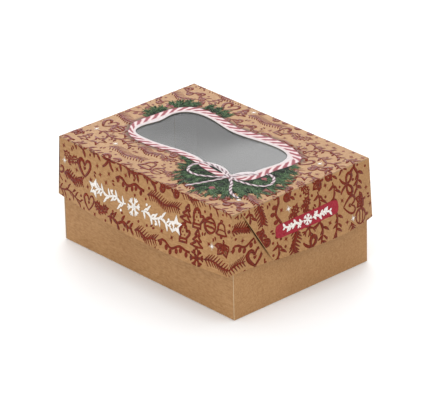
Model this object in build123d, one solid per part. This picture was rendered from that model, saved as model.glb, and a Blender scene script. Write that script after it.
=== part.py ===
from build123d import *
import os

# A folded carton sweet box: a base tray and a lift-off lid with a film window.
# Millimetres, +Z up. The origin is the middle of the base's underside, +X runs
# along the long side and +Y runs to the back. Each blank is cut into its panels
# at the creases, so every panel is a solid of its own that seats on the next.

# Overall sizes
lid_length = 178.0
lid_width = 126.6
box_height = 79.4               # underside of the base to the top of the lid
skirt_depth = 44.4              # how far the lid reaches down over the base

# Board, creases and glue
board = 0.5                     # thickness of the solid board
crease_radius = 0.4             # outside radius of a folded edge
crease_round_share = 0.9        # most of the board that a crease may round away
crease_gap = 0.1                # left between a flap and the wall it folds from
glue_thickness = 0.15           # dried glue between a flap and its end panel

# How the lid's walls spring outwards below their creases. Two opposite corners
# are glued tight and the other two loose.
long_flare_tight = 1.5          # long rim's corner, front left and back right
long_flare_loose = 5.3          # long rim's corner, front right and back left
end_flare_tight = 1.5           # end rim's corner, front left and back right
end_flare_loose = 0.6           # end rim's corner, front right and back left
long_rim_crest = 6.5            # long rim beyond the line between its corners
long_rim_shoulder = 5.3         # the same, nearer its tight corner
end_rim_crest = 6.7             # end rim beyond the line between its corners
end_rim_shoulder = 2.0          # the same, where a flap stiffens it
end_panel_lift = 0.8            # end panel's slanted edge stands off its flap half way down

# Where the crests and shoulders lie, as shares of each rim: the long front rim
# is followed from its left end, and the right end's rim from its front end
long_crest_share = 0.66
long_shoulder_share = 0.28
end_crest_share = 0.70
end_shoulder_share = 0.27

# Lid's end panels, slanted at one corner and square at the other, and the
# glue flaps under them
end_panel_setback = 7.5         # slanted edge from the corner, at the crease
end_panel_rim_setback = 33.5    # the same at the rim
end_panel_tip_radius = 2.0      # rounded tip where the slanted edge meets the rim
flap_overlap = 12.0             # how far a lid flap reaches under the end panel
flap_relief = 0.3               # flap's edge short of the crease above or below it
lid_glue_inset = 3.0            # glue patch from the end panel's slanted edge
lid_glue_width = 6.0
lid_glue_end_margin = 5.0       # glue patch from the crease and from the rim

# Base tray, which slides inside the lid
side_clearance = 0.3            # base's long wall to the lid's wall at the crease
end_clearance = 0.3             # base's end panel to the lid's flap at the crease
base_flap_length = 21.0         # along the end panel, at its middle height
base_flap_taper = 3.0           # how much shorter the flap is at top and bottom
base_flap_corner_height = 12.0  # height over which the flap tapers
base_glue_inset = 6.0           # glue patch from the corner
base_glue_width = 9.0
base_glue_end_margin = 15.0     # glue patch from the floor and from the rim

# Window in the lid's top panel and its film
window_length = 112.5
window_width = 53.5
window_shift_x = -4.25          # window's middle from the panel's middle
window_shift_y = 3.45
film_margin = 8.0               # film reaches past the window on every side
film_thickness = 0.15
film_corner_radius = 3.0
film_glue_thickness = 0.1
film_glue_width = 4.0

# Outline of the window as shares of its length and width, anticlockwise from
# the right edge. The edge waves in along both long sides.
window_edge_shares = [
    (0.486, -0.205), (0.488, -0.030), (0.500, 0.220), (0.462, 0.415),
    (0.330, 0.498), (-0.042, 0.422), (-0.362, 0.500), (-0.470, 0.398),
    (-0.495, 0.262), (-0.480, 0.010), (-0.500, -0.290), (-0.474, -0.440),
    (-0.388, -0.500), (-0.024, -0.412), (0.162, -0.450),
]
# Two arcs follow the printed bow's loops, and a short one goes round its knot.
left_loop_shares = (0.269, -0.382)
knot_left_shares = (0.393, -0.458)
knot_top_shares = (0.405, -0.468)
knot_right_shares = (0.419, -0.440)
right_loop_shares = (0.437, -0.310)

overrun = 20.0                  # how far cutting shapes reach past what they cut

# Worked-out sizes
crease_round = min(crease_radius, crease_round_share * board)
under_lid = box_height - board                      # underside of the lid's top panel
rim_height = box_height - skirt_depth               # lower edge of the lid
wall_height = under_lid - rim_height
flap_inset = board + glue_thickness                 # end panel's face to the flap's face
long_wall_half = lid_length / 2 - flap_inset        # half length of the lid's long wall
base_length = lid_length - 2 * (flap_inset + board + end_clearance)
base_width = lid_width - 2 * (board + side_clearance)
base_wall_half = base_length / 2 - flap_inset
setback_per_height = (end_panel_rim_setback - end_panel_setback) / wall_height


def slab(low, high):
    """Return a box between two opposite corners."""
    size = Vector(*high) - Vector(*low)
    return Pos(*((Vector(*low) + Vector(*high)) / 2)) * Box(*size)


def turned(shape):
    """Return a copy on the opposite side of the box."""
    return Rot(0, 0, 180) * shape


def prism_along_x(points, middle_x):
    """Return a prism whose outline is given as (y, z) points, running across the end at middle_x."""
    outline = make_face(Plane.YZ.offset(middle_x) * Polyline(*points, close=True))
    return extrude(outline, overrun, both=True)


def strip(outer, inner):
    """Return the flat face between two lines that run the same way."""
    start, end = Line(inner @ 0, outer @ 0), Line(outer @ 1, inner @ 1)
    return make_face([outer.edge(), end.edge(), inner.edge(), start.edge()])


def bowed_line(start, end, outwards, waypoints):
    """Return a line through waypoints, each a share of the way along and a rise outwards."""
    if not any(rise for share, rise in waypoints):
        return Line(start, end)
    middle = [start + (end - start) * share + outwards * rise for share, rise in waypoints]
    return Spline(start, *middle, end)


def long_wall_line(height_share):
    """Return the long front wall's outer line, straight at the crease and bowed at the rim."""
    z = under_lid - height_share * wall_height
    left_x = -long_wall_half - height_share * end_flare_tight
    right_x = long_wall_half + height_share * end_flare_loose
    left = Vector(left_x, -lid_width / 2 - height_share * long_flare_tight, z)
    right = Vector(right_x, -lid_width / 2 - height_share * long_flare_loose, z)
    shoulder = (long_shoulder_share, height_share * long_rim_shoulder)
    crest = (long_crest_share, height_share * long_rim_crest)
    return bowed_line(left, right, Vector(0, -1, 0), [shoulder, crest])


def end_wall_line(height_share, inset, trim, lift):
    """Return the right end's line: inset from its outer face, trimmed at both corners, lifted at its front."""
    z = under_lid - height_share * wall_height
    face_x = lid_length / 2 - inset
    front_x = face_x + height_share * end_flare_loose + lift
    back_x = face_x + height_share * end_flare_tight
    front = Vector(front_x, -lid_width / 2 + trim - height_share * long_flare_loose, z)
    back = Vector(back_x, lid_width / 2 - trim + height_share * long_flare_tight, z)
    shoulder = (end_shoulder_share, height_share * end_rim_shoulder)
    crest = (end_crest_share, height_share * end_rim_crest)
    return bowed_line(front, back, Vector(1, 0, 0), [shoulder, crest])


def end_layer(outer_inset, inner_inset, trim, outer_lift, inner_lift):
    """Return one layer of the right end, between two insets, each with its lift half way down."""
    sections = []
    for height_share, lift_share in ((0, 0), (1 / 2, 1), (1, 0)):
        outer = end_wall_line(height_share, outer_inset, trim, lift_share * outer_lift)
        inner = end_wall_line(height_share, inner_inset, trim, lift_share * inner_lift)
        sections.append(strip(outer, inner))
    return loft(sections)


def slanted_edge_y(z, inset):
    """Return how far from the corner the end panel's slanted edge lies at a height, plus an inset."""
    return end_panel_setback + (under_lid - z) * setback_per_height + inset


def window_point(shares):
    """Return a point of the window's outline on the top panel."""
    return (window_shift_x + shares[0] * window_length, window_shift_y + shares[1] * window_width)


def window_outline():
    """Return the window's outline as a flat face."""
    edge = Spline(*[window_point(shares) for shares in window_edge_shares])
    left_loop = ThreePointArc(edge @ 1, window_point(left_loop_shares), window_point(knot_left_shares))
    knot = ThreePointArc(left_loop @ 1, window_point(knot_top_shares), window_point(knot_right_shares))
    right_loop = ThreePointArc(knot @ 1, window_point(right_loop_shares), edge @ 0)
    return make_face([edge.edge(), left_loop.edge(), knot.edge(), right_loop.edge()])


def film_outline(inset):
    """Return the film's rounded rectangle, made smaller by an inset on every side."""
    length = window_length + 2 * (film_margin - inset)
    width = window_width + 2 * (film_margin - inset)
    return Pos(window_shift_x, window_shift_y) * RectangleRounded(length, width, film_corner_radius)


def make_lid_top_panel():
    """Return the lid's top panel: rounded along its creases, cut through by the window."""
    panel = slab((-lid_length / 2, -lid_width / 2, under_lid), (lid_length / 2, lid_width / 2, box_height))
    panel = fillet(panel.faces().sort_by(Axis.Z)[-1].edges(), crease_round)
    opening = extrude(Pos(0, 0, box_height) * window_outline(), overrun, both=True)
    return panel - opening


def make_window_film():
    """Return the clear film, glued under the window."""
    film_top = under_lid - film_glue_thickness
    return extrude(Pos(0, 0, film_top) * film_outline(0), -film_thickness)


def make_film_glue_line():
    """Return the ring of glue between the film and the top panel."""
    ring = film_outline(0) - film_outline(film_glue_width)
    return extrude(Pos(0, 0, under_lid) * ring, -film_glue_thickness)


def make_lid_long_wall():
    """Return the lid's front wall: bowed out at its rim, rounded where its flaps fold back."""
    sections = []
    for height_share in (0, 1):
        outer = long_wall_line(height_share)
        section = strip(outer, Pos(0, board, 0) * outer)
        ends = section.vertices().sort_by(Axis.X)
        outer_corners = [ends[:2].sort_by(Axis.Y)[0], ends[-2:].sort_by(Axis.Y)[0]]
        sections.append(fillet(outer_corners, crease_round))
    return loft(sections, ruled=True)


def make_lid_end_panel():
    """Return the lid's right end panel: slanted at the front corner, square at the back one."""
    layer = end_layer(0, board, 0, end_panel_lift, end_panel_lift)
    half = lid_width / 2
    top_y = slanted_edge_y(under_lid, 0) - half
    rim_y = slanted_edge_y(rim_height, 0) - half
    back_y = half + overrun
    outline = Polyline((top_y, under_lid), (rim_y, rim_height), (back_y, rim_height), (back_y, under_lid), close=True)
    face = make_face(Plane.YZ.offset(lid_length / 2) * outline)
    tip = face.vertices().sort_by(Axis.Z)[:2].sort_by(Axis.Y)[0]
    return layer & extrude(fillet(tip, end_panel_tip_radius), overrun, both=True)


def make_lid_flap(side):
    """Return the glue flap under the right end panel: side is -1 at the front and 1 at the back."""
    layer = end_layer(flap_inset, flap_inset + board, board + crease_gap, 0, 0)
    half = lid_width / 2
    top, rim = under_lid - flap_relief, rim_height - overrun
    top_y = half - slanted_edge_y(top, flap_overlap)
    rim_y = half - slanted_edge_y(rim, flap_overlap)
    points = [(half + overrun, top), (top_y, top), (rim_y, rim), (half + overrun, rim)]
    return layer & prism_along_x([(side * y, z) for y, z in points], lid_length / 2)


def make_lid_glue(side):
    """Return the glue patch between one flap and the right end panel."""
    layer = end_layer(board, flap_inset, board, end_panel_lift, 0)
    half = lid_width / 2
    top, low = under_lid - lid_glue_end_margin, rim_height + lid_glue_end_margin
    near, far = lid_glue_inset, lid_glue_inset + lid_glue_width
    corners = [(top, near), (top, far), (low, far), (low, near)]
    points = [(side * (half - slanted_edge_y(z, inset)), z) for z, inset in corners]
    return layer & prism_along_x(points, lid_length / 2)


def make_base_floor():
    """Return the base's floor, rounded along its creases."""
    floor = slab((-base_length / 2, -base_width / 2, 0), (base_length / 2, base_width / 2, board))
    return fillet(floor.faces().sort_by(Axis.Z)[0].edges(), crease_round)


def make_base_long_wall():
    """Return the base's front wall, rounded where its flaps fold back."""
    low = (-base_wall_half, -base_width / 2, board)
    high = (base_wall_half, -base_width / 2 + board, under_lid)
    wall = slab(low, high)
    return fillet(wall.edges().filter_by(Axis.Z).sort_by(Axis.Y)[:2], crease_round)


def make_base_end_panel():
    """Return the base's right end panel, which covers the ends of the long walls."""
    low = (base_length / 2 - board, -base_width / 2, board)
    high = (base_length / 2, base_width / 2, under_lid)
    return slab(low, high)


def make_base_flap(side):
    """Return the glue flap inside the right end panel: side is -1 at the front and 1 at the back."""
    start = base_width / 2 - board - crease_gap
    end = base_width / 2 - base_flap_length
    short_end = end + base_flap_taper
    low, high = board + flap_relief, under_lid - flap_relief
    low_shoulder, high_shoulder = low + base_flap_corner_height, high - base_flap_corner_height
    points = [(start, low), (start, high), (short_end, high), (end, high_shoulder)]
    points += [(end, low_shoulder), (short_end, low)]
    face = make_face(Plane.YZ.offset(base_wall_half) * Polyline(*[(side * y, z) for y, z in points], close=True))
    return extrude(face, board, dir=(-1, 0, 0))


def make_base_glue(side):
    """Return the glue patch between one flap and the right end panel."""
    near = base_width / 2 - base_glue_inset
    far = near - base_glue_width
    face_x = base_length / 2 - board
    low = (face_x - glue_thickness, min(side * near, side * far), board + base_glue_end_margin)
    high = (face_x, max(side * near, side * far), under_lid - base_glue_end_margin)
    return slab(low, high)


def lid_parts():
    """Return the lid's nodes by name."""
    long_wall, end_panel = make_lid_long_wall(), make_lid_end_panel()
    front_flap, back_flap = make_lid_flap(-1), make_lid_flap(1)
    glue_patches = [make_lid_glue(-1), make_lid_glue(1)]
    return {
        "lid_top_panel": make_lid_top_panel(),
        "lid_front_wall": long_wall,
        "lid_back_wall": turned(long_wall),
        "lid_right_end_panel": end_panel,
        "lid_left_end_panel": turned(end_panel),
        "lid_front_right_flap": front_flap,
        "lid_back_right_flap": back_flap,
        "lid_back_left_flap": turned(front_flap),
        "lid_front_left_flap": turned(back_flap),
        "lid_corner_glue": Compound(glue_patches + [turned(patch) for patch in glue_patches]),
        "window_film": make_window_film(),
        "film_glue_line": make_film_glue_line(),
    }


def base_parts():
    """Return the base's nodes by name."""
    long_wall, end_panel = make_base_long_wall(), make_base_end_panel()
    front_flap, back_flap = make_base_flap(-1), make_base_flap(1)
    glue_patches = [make_base_glue(-1), make_base_glue(1)]
    return {
        "base_floor": make_base_floor(),
        "base_front_wall": long_wall,
        "base_back_wall": turned(long_wall),
        "base_right_end_panel": end_panel,
        "base_left_end_panel": turned(end_panel),
        "base_front_right_flap": front_flap,
        "base_back_right_flap": back_flap,
        "base_back_left_flap": turned(front_flap),
        "base_front_left_flap": turned(back_flap),
        "base_corner_glue": Compound(glue_patches + [turned(patch) for patch in glue_patches]),
    }


def main():
    """Write one STEP file for each node."""
    os.makedirs("parts", exist_ok=True)
    for name, shape in (lid_parts() | base_parts()).items():
        export_step(shape, f"parts/{name}.step")


main()
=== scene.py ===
import math
import random
from functools import partial

import bmesh
import bpy
from mathutils import Matrix, Vector
from mathutils.geometry import intersect_line_line_2d
from mathutils.kdtree import KDTree


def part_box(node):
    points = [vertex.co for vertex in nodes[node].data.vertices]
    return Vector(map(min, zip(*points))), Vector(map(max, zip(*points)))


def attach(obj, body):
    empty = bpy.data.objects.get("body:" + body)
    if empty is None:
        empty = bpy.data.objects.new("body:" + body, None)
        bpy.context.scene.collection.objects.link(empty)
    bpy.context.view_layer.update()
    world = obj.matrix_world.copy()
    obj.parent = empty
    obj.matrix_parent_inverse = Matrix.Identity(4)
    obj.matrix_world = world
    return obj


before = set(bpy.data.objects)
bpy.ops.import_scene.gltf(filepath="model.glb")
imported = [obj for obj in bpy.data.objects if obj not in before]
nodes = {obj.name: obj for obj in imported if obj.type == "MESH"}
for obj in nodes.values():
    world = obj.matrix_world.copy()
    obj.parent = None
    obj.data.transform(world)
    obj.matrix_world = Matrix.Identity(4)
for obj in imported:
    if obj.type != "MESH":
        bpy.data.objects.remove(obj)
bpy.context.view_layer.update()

MM = 0.001               # drawn sizes are in millimetres, Blender's are in metres

# The lid as the CAD has it, in millimetres
lid_half_length, lid_half_width, lid_top = (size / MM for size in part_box("lid_top_panel")[1])
lid_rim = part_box("lid_front_wall")[0].z / MM
skirt = lid_top - lid_rim

# How far the lid's corners spread at the rim, where its walls spring out, and the end panels' slanted edge
LOOSE_FLARE, TIGHT_FLARE, LONG_LOOSE_FLARE = 0.6, 1.5, 5.3
END_SETBACK, END_RIM_SETBACK = 7.5, 33.5
FLAP_INSET = 0.65        # a long wall's end from the end panel's face
spread = 1 / skirt
loose_slope, tight_slope = LOOSE_FLARE * spread, TIGHT_FLARE * spread
setback_slope = (END_RIM_SETBACK - END_SETBACK) * spread

# Layers of printing over the board
INK_THICKNESS = 0.02
NEEDLE_THICKNESS = 0.01
SHADOW_HEIGHT = 0.008
RED_INK_HEIGHT = 0.03
FIR_SHADE_HEIGHT = 0.058
FIR_DARK_HEIGHT, FIR_MID_HEIGHT, FIR_LIGHT_HEIGHT = 0.07, 0.078, 0.086
MARGIN_HEIGHT = 0.09
LABEL_HEIGHT = 0.105
WHITE_INK_HEIGHT = 0.13
CORD_HEIGHT = 0.14
BERRY_HEIGHT = 0.16
TWINE_HEIGHT = 0.19
TWINE_LIFT = 0.004       # from one run of twine to the next
CUT_MARGIN = 0.12        # printing stops this far from a folded or cut edge
# Strokes that cross lie a few microns apart, and a stroke climbs a little along its length, so that no two
# printed faces share a plane
STROKE_LIFT, STROKE_LIFTS = 0.003, 7
STROKE_CLIMB, STROKE_CLIMBS = 0.0005, 24
CORD_PITCH, TWINE_PITCH = 8.0, 5.2       # from one red line to the next along the cord and the twine


# Materials

KRAFT_TONES = [(0.30, "#9F764B"), (0.50, "#AA8155"), (0.72, "#B58C60")]
LINING_TONES = [(0.3, "#989898"), (0.7, "#A3A3A3")]
PALE_CUT = "#C6AE8E"
GREY_CUT_WITH_SHADE = "#8E867B"    # the top panel's cut faces: grey cut board, darkened further as painted shade of the gap at the window's edge
SLIT_SHADOW_CUT = "#1F1711"     # painted shadow: the slanted edge's cut face, near black for the dark slit between an end panel and its flap
KRAFT_CUT = "#AD8860"    # the lid's folds and rim, hardly paler than its face
BOARD_ROUGHNESS = 0.5
PAPER_GLOSS = 0.18       # uncoated board and the ink sunk into it hardly shine, but for a glancing sheen
DARK_GLOSS = 0.02        # heavy dark ink dries matt
FIBRE_BUMP = 0.00003     # metres: the calendered face is nearly smooth
# How squarely a face of the board points outwards, or inwards, to be its kraft face or its lining
KRAFT_FROM, LINING_BELOW = 0.35, -0.5
SLIT_SHADOW_REACH = 0.0011        # metres: how far out from the slit the painted shadow on the board reaches
# The painted shadow's tones, from none to darkest at the slit
SLIT_SHADOW_TONES = [(0.0, "#FFFFFF"), (0.45, "#A89888"), (1.0, "#33261D")]
# The slit gapes halfway down the lid and is shut at the top and at the rim; its painted shadow is darkest
# where it gapes
SLIT_SHADOW_BY_HEIGHT = [(0.06, "#000000"), (0.36, "#FFFFFF"), (0.68, "#FFFFFF"), (0.95, "#3A3A3A")]

FIBRE_LENGTH_MM = 3.4    # kraft fibres are finer than this; drawn coarse enough to show
FIBRE_WIDTH_MM = 1.0
MOTTLE_MM = 2.2
CLOUD_MM = 34.0
# The board's fine mottling and slow clouds, each as its size and how it darkens the face
KRAFT_LAYERS = [(MOTTLE_MM, [(0.30, "#F2EEEA"), (0.60, "#FFFFFF")]),
                (CLOUD_MM, [(0.35, "#F7F4F1"), (0.65, "#FFFFFF")])]
INK_STREAK = 1.8         # how much longer than wide the ink's patches are
SLACK_LENGTH_MM = 70.0   # one slow wave of the slack film, along the window and across it
SLACK_WIDTH_MM = 160.0
SLACK_AND_PAINTED_LIGHT_START = (22.1, 0, 0)               # shifts the waves so that the film's painted lighter stretch falls at the window's right end
BUBBLE_MM = 1.2          # between bubbles in dried glue
WEAR_MM = 0.6            # between specks where the cord's ink takes less
PALE_SIDE = "#C9B9B8"    # the cord's side that catches the light
PALE_FADE = 0.12         # share of the cord's width over which it comes in

SHARE, FIRST, SECOND = 0, 6, 7           # sockets of a colour mix
FIRST_NUMBER, SECOND_NUMBER = 2, 3       # sockets of a mix of numbers
COLOURS = {"data_type": "RGBA"}
MULTIPLY = {"data_type": "RGBA", "blend_type": "MULTIPLY"}


def linear(hex_colour):
    """Turn an sRGB hex colour into the linear colour that a socket takes."""
    shares = [int(hex_colour[i:i + 2], 16) / 255 for i in (1, 3, 5)]
    return [s / 12.92 if s <= 0.04045 else ((s + 0.055) / 1.055) ** 2.4 for s in shares] + [1.0]


def add_node(tree, kind, inputs=None, stops=None, **settings):
    """Add a node to a tree.

    An input is a value, or a node or socket to link. Stops are a ramp's (place, colour) pairs.
    """
    made = tree.nodes.new("ShaderNode" + kind)
    for name, value in settings.items():
        setattr(made, name, value)
    if stops:
        band = made.color_ramp.elements
        band[0].position, band[1].position = stops[0][0], stops[-1][0]
        for place, _ in stops[1:-1]:
            band.new(place)
        for element, (_, colour) in zip(band, stops):
            element.color = linear(colour)
    for key, value in (inputs or {}).items():
        if isinstance(value, bpy.types.Node):
            value = next(socket for socket in value.outputs if socket.enabled)
        if isinstance(value, bpy.types.NodeSocket):
            tree.links.new(value, made.inputs[key])
        else:
            made.inputs[key].default_value = value
    return made


def new_material(name):
    """Return a new material, the way to add a node to it, and the piece's own coordinates."""
    material = bpy.data.materials.new(name)
    material.use_nodes = True
    material.node_tree.nodes.clear()
    add = partial(add_node, material.node_tree)
    return material, add, add("TexCoord").outputs


def kraft_colour(add, own):
    """Add the kraft face's fibres, mottling and slow clouds; return its colour's node and the fibres'."""
    stretch = (1 / FIBRE_LENGTH_MM / MM, 1 / FIBRE_WIDTH_MM / MM, 1 / FIBRE_WIDTH_MM / MM)
    along = add("Mapping", {"Vector": own["Object"], "Scale": stretch, "Rotation": (0.05, 0.04, 0.06)})
    fibres = add("TexNoise", {"Vector": along, "Scale": 1.0, "Detail": 3.0, "Roughness": 0.55})
    face = add("ValToRGB", {0: fibres}, KRAFT_TONES)
    for size, stops in KRAFT_LAYERS:
        cloud = add("TexNoise", {"Vector": own["Object"], "Scale": 1 / size / MM, "Detail": 2.0})
        face = add("Mix", {SHARE: 1.0, FIRST: face, SECOND: add("ValToRGB", {0: cloud}, stops)}, **MULTIPLY)
    return face, fibres


def board_surface(add, colour, fibres):
    """Give board of a colour its matt surface, with fibres that hardly stand out."""
    bump = add("Bump", {"Height": fibres, "Strength": 0.1, "Distance": FIBRE_BUMP})
    board = add("BsdfPrincipled", {"Base Color": colour, "Roughness": BOARD_ROUGHNESS,
                                   "Specular IOR Level": PAPER_GLOSS, "Normal": bump})
    add("OutputMaterial", {"Surface": board})


def slit_shadow_strength(add, own):
    """Add how far the lid's slanted slit gapes at each height, from 0 to 1, which sets how dark its painted
    shadow is, and return its node.
    """
    height = add("SeparateXYZ", {0: own["Object"]}).outputs["Z"]
    down = add("MapRange", {"Value": height, "From Min": lid_top * MM, "From Max": lid_rim * MM})
    return add("ValToRGB", {0: down}, SLIT_SHADOW_BY_HEIGHT)


def make_board(name, facing, cut=PALE_CUT, slit=None):
    """Folding box board, pressed from recycled pulp with a brown kraft face and a grey lining.

    To the eye: matt warm brown with short fibres outside, plain cool grey inside, paler where it was cut.
    A slit is where a second board's edge lies over this one: its direction across, and its distance from the
    origin in metres. The board is painted dark there, a painted shadow as far as the slit gapes.
    """
    material, add, own = new_material(name)
    kraft, fibres = kraft_colour(add, own)
    if slit:
        # Painted shadow: the board darkens towards the slit where an end panel's edge lies over it
        across = add("VectorMath", {0: own["Object"], 1: slit[0]}, operation="DOT_PRODUCT").outputs["Value"]
        near = add("MapRange", {"Value": across, "From Min": slit[1] - SLIT_SHADOW_REACH, "From Max": slit[1]})
        shadow_along_slit = add("ValToRGB", {0: near}, SLIT_SHADOW_TONES)
        kraft = add("Mix", {SHARE: slit_shadow_strength(add, own), FIRST: kraft, SECOND: shadow_along_slit}, **MULTIPLY)
    edge = linear(cut)
    # Painted shadow: the slit's cut face goes from the fold's colour where the slit is shut to near black
    # where it gapes
    if cut == SLIT_SHADOW_CUT:
        edge = add("Mix", {SHARE: slit_shadow_strength(add, own), FIRST: linear(KRAFT_CUT), SECOND: edge}, **COLOURS)
    grain = add("TexNoise", {"Vector": own["Object"], "Scale": 1 / MOTTLE_MM / MM, "Detail": 2.0})
    lining = add("ValToRGB", {0: grain}, LINING_TONES)
    turn = add("VectorMath", {0: own["Normal"], 1: facing}, operation="DOT_PRODUCT").outputs["Value"]
    outside = add("Math", {0: turn, 1: KRAFT_FROM}, operation="GREATER_THAN")
    inside_face = add("Math", {0: turn, 1: LINING_BELOW}, operation="LESS_THAN")
    faced = add("Mix", {SHARE: outside, FIRST: edge, SECOND: kraft}, **COLOURS)
    board_surface(add, add("Mix", {SHARE: inside_face, FIRST: faced, SECOND: lining}, **COLOURS), fibres)
    return material


def make_film():
    """Oriented polypropylene film, cast and stretched.

    To the eye: clear and glossy, slack in slow waves, with a faint grey, hazy tint over what lies below,
    lighter and darker in stretches as painted light and shade of the box's inside.
    """
    material, add, own = new_material("clear_polypropylene_film")
    stretch = (1 / SLACK_LENGTH_MM / MM, 1 / SLACK_WIDTH_MM / MM, 1)
    slack = add("Mapping", {"Vector": own["Object"], "Location": SLACK_AND_PAINTED_LIGHT_START, "Scale": stretch})
    waves = add("TexNoise", {"Vector": slack, "Scale": 1.0, "Detail": 1.0})
    # Painted light and shade: the film's grey tint is lighter and darker in stretches, for how the box's
    # inside is lit
    haze_and_painted_light = add("ValToRGB", {0: waves}, [(0.40, "#5A5A5A"), (0.66, "#B2B2B2")])
    bump = add("Bump", {"Height": waves, "Strength": 0.04, "Distance": 0.0006})
    film = add("BsdfPrincipled", {"Base Color": haze_and_painted_light, "Roughness": 0.2, "IOR": 1.49, "Alpha": 0.24,
                                  "Normal": bump})
    add("OutputMaterial", {"Surface": film})
    return material


def make_glue():
    """Dispersion glue, rolled on and dried.

    To the eye: off-white and waxy, pitted with small bubbles.
    """
    material, add, own = new_material("dried_dispersion_glue")
    bubbles = add("TexVoronoi", {"Vector": own["Object"], "Scale": 1 / BUBBLE_MM / MM})
    colour = add("ValToRGB", {0: bubbles}, [(0.1, "#F1ECDD"), (0.6, "#DDD5BF")])
    bump = add("Bump", {"Height": bubbles, "Strength": 0.3, "Distance": 0.00005})
    glue = add("BsdfPrincipled", {"Base Color": colour, "Roughness": 0.35, "IOR": 1.48, "Normal": bump})
    add("OutputMaterial", {"Surface": glue})
    return material


def make_ink(name, dark, mid, light, patch_mm, gloss=PAPER_GLOSS):
    """Offset ink, printed on kraft board.

    To the eye: flat colour that the fibres under it let take unevenly, darker and thinner in patches.
    """
    material, add, own = new_material(name)
    stretch = (1 / patch_mm / INK_STREAK / MM, 1 / patch_mm / MM, 1 / patch_mm / MM)
    along = add("Mapping", {"Vector": own["Object"], "Scale": stretch})
    take = add("TexNoise", {"Vector": along, "Scale": 1.0, "Detail": 4.0})
    colour = add("ValToRGB", {0: take}, [(0.32, dark), (0.5, mid), (0.7, light)])
    ink = add("BsdfPrincipled", {"Base Color": colour, "Roughness": BOARD_ROUGHNESS,
                                 "Specular IOR Level": gloss})
    add("OutputMaterial", {"Surface": ink})
    return material


def make_cord_print(name, pitch_mm, slant, stops, edge_colour, edge_share, pale_from=1.0):
    """Offset print of a twisted cord.

    To the eye: slanted red and white strands, shaded at both edges so that the cord looks round. From the
    share pale_from on, towards the inner edge, it catches the light and its strands fade. The strip's own UV
    map holds millimetres along it and a share from 0 to 1 across it, outer edge first.
    """
    material, add, own = new_material(name)
    run = add("SeparateXYZ", {0: add("UVMap", uv_map="print_run")}).outputs
    centred = add("Math", {0: run["Y"], 1: 0.5}, operation="SUBTRACT")
    bend = add("Math", {0: add("Math", {0: centred, 1: math.pi}, operation="MULTIPLY")}, operation="SINE")
    turns = add("Math", {0: run["X"], 1: pitch_mm}, operation="DIVIDE")
    strands = add("Math", {0: bend, 1: slant, 2: turns}, operation="MULTIPLY_ADD")
    colour = add("ValToRGB", {0: add("Math", {0: strands}, operation="FRACT")}, stops)
    edge = add("Math", {0: centred}, operation="ABSOLUTE")
    shade = add("ValToRGB", {0: edge}, [(edge_share, "#FFFFFF"), (0.5, edge_colour)])
    shaded = add("Mix", {SHARE: 1.0, FIRST: colour, SECOND: shade}, **MULTIPLY)
    lit = add("MapRange", {"Value": run["Y"], "From Min": pale_from, "From Max": pale_from + PALE_FADE})
    sided = add("Mix", {SHARE: lit, FIRST: shaded, SECOND: linear(PALE_SIDE)}, **COLOURS)
    take = add("TexNoise", {"Vector": own["Object"], "Scale": 1 / WEAR_MM / MM, "Detail": 3.0})
    wear = add("ValToRGB", {0: take}, [(0.3, "#F3ECEA"), (0.6, "#FFFFFF")])
    worn = add("Mix", {SHARE: 1.0, FIRST: sided, SECOND: wear}, **MULTIPLY)
    ink = add("BsdfPrincipled", {"Base Color": worn, "Roughness": 0.45, "Specular IOR Level": PAPER_GLOSS})
    add("OutputMaterial", {"Surface": ink})
    return material


def make_printed_shadow():
    """Offset print on kraft board, a soft shadow beside the cord.

    To the eye: brown that fades outwards into the bare kraft, so that the printed cord seems to stand off.
    """
    material, add, own = new_material("kraft_board_with_printed_shadow")
    kraft, fibres = kraft_colour(add, own)
    run = add("SeparateXYZ", {0: add("UVMap", uv_map="print_run")}).outputs
    fade = add("ValToRGB", {0: run["Y"]}, [(0.0, "#55423A"), (0.45, "#9D8B82"), (1.0, "#FFFFFF")])
    board_surface(add, add("Mix", {SHARE: 1.0, FIRST: kraft, SECOND: fade}, **MULTIPLY), fibres)
    return material


FACINGS = {"front": (0, -1, 0), "back": (0, 1, 0), "right": (1, 0, 0), "left": (-1, 0, 0)}
boards = {}
for word, facing in FACINGS.items():
    boards["base", word] = make_board(f"kraft_board_facing_{word}", facing)
    boards["lid", word] = make_board(f"printed_kraft_board_facing_{word}", facing, KRAFT_CUT)
# The end panels' slanted cut faces carry the slit's painted shadow
for word in ("right", "left"):
    boards["slanted", word] = make_board(f"kraft_board_painted_slit_shadow_facing_{word}", FACINGS[word], SLIT_SHADOW_CUT)
# The end panels' slanted edges lie over two of the flaps, which get a painted shadow along them; the lid is
# the same, turned half round
slit_across = Vector((0, 1, setback_slope)).normalized()
slit_place = slit_across.dot(Vector((0, END_SETBACK - lid_half_width, lid_top)) * MM)
slits = {"right": (slit_across, slit_place), "left": (slit_across * Vector((1, -1, 1)), slit_place)}
# The two flaps under the slanted edges carry the slit's painted shadow
under_right, under_left = (make_board(f"kraft_board_under_{word}_end_panel", FACINGS[word], KRAFT_CUT, slit)
                           for word, slit in slits.items())
glue = make_glue()
finishes = {"film_glue_line": glue, "lid_corner_glue": glue, "base_corner_glue": glue,
            "window_film": make_film(),
            "lid_front_right_flap": under_right, "lid_back_left_flap": under_left,
            # the top panel's cut faces are grey, with painted shade at the window's edge
            "lid_top_panel": make_board("kraft_board_facing_up", (0, 0, 1), GREY_CUT_WITH_SHADE),
            "base_floor": make_board("kraft_board_facing_down", (0, 0, -1))}
for name, node_object in nodes.items():
    if name not in finishes:
        # A flap faces as the end panel that it is glued to does, so the last word counts
        body, *words = name.split("_")
        facing = [word for word in words if word in FACINGS][-1]
        finishes[name] = boards["slanted" if body == "lid" and "end" in words else body, facing]
    node_object.data.materials.clear()
    node_object.data.materials.append(finishes[name])

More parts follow.
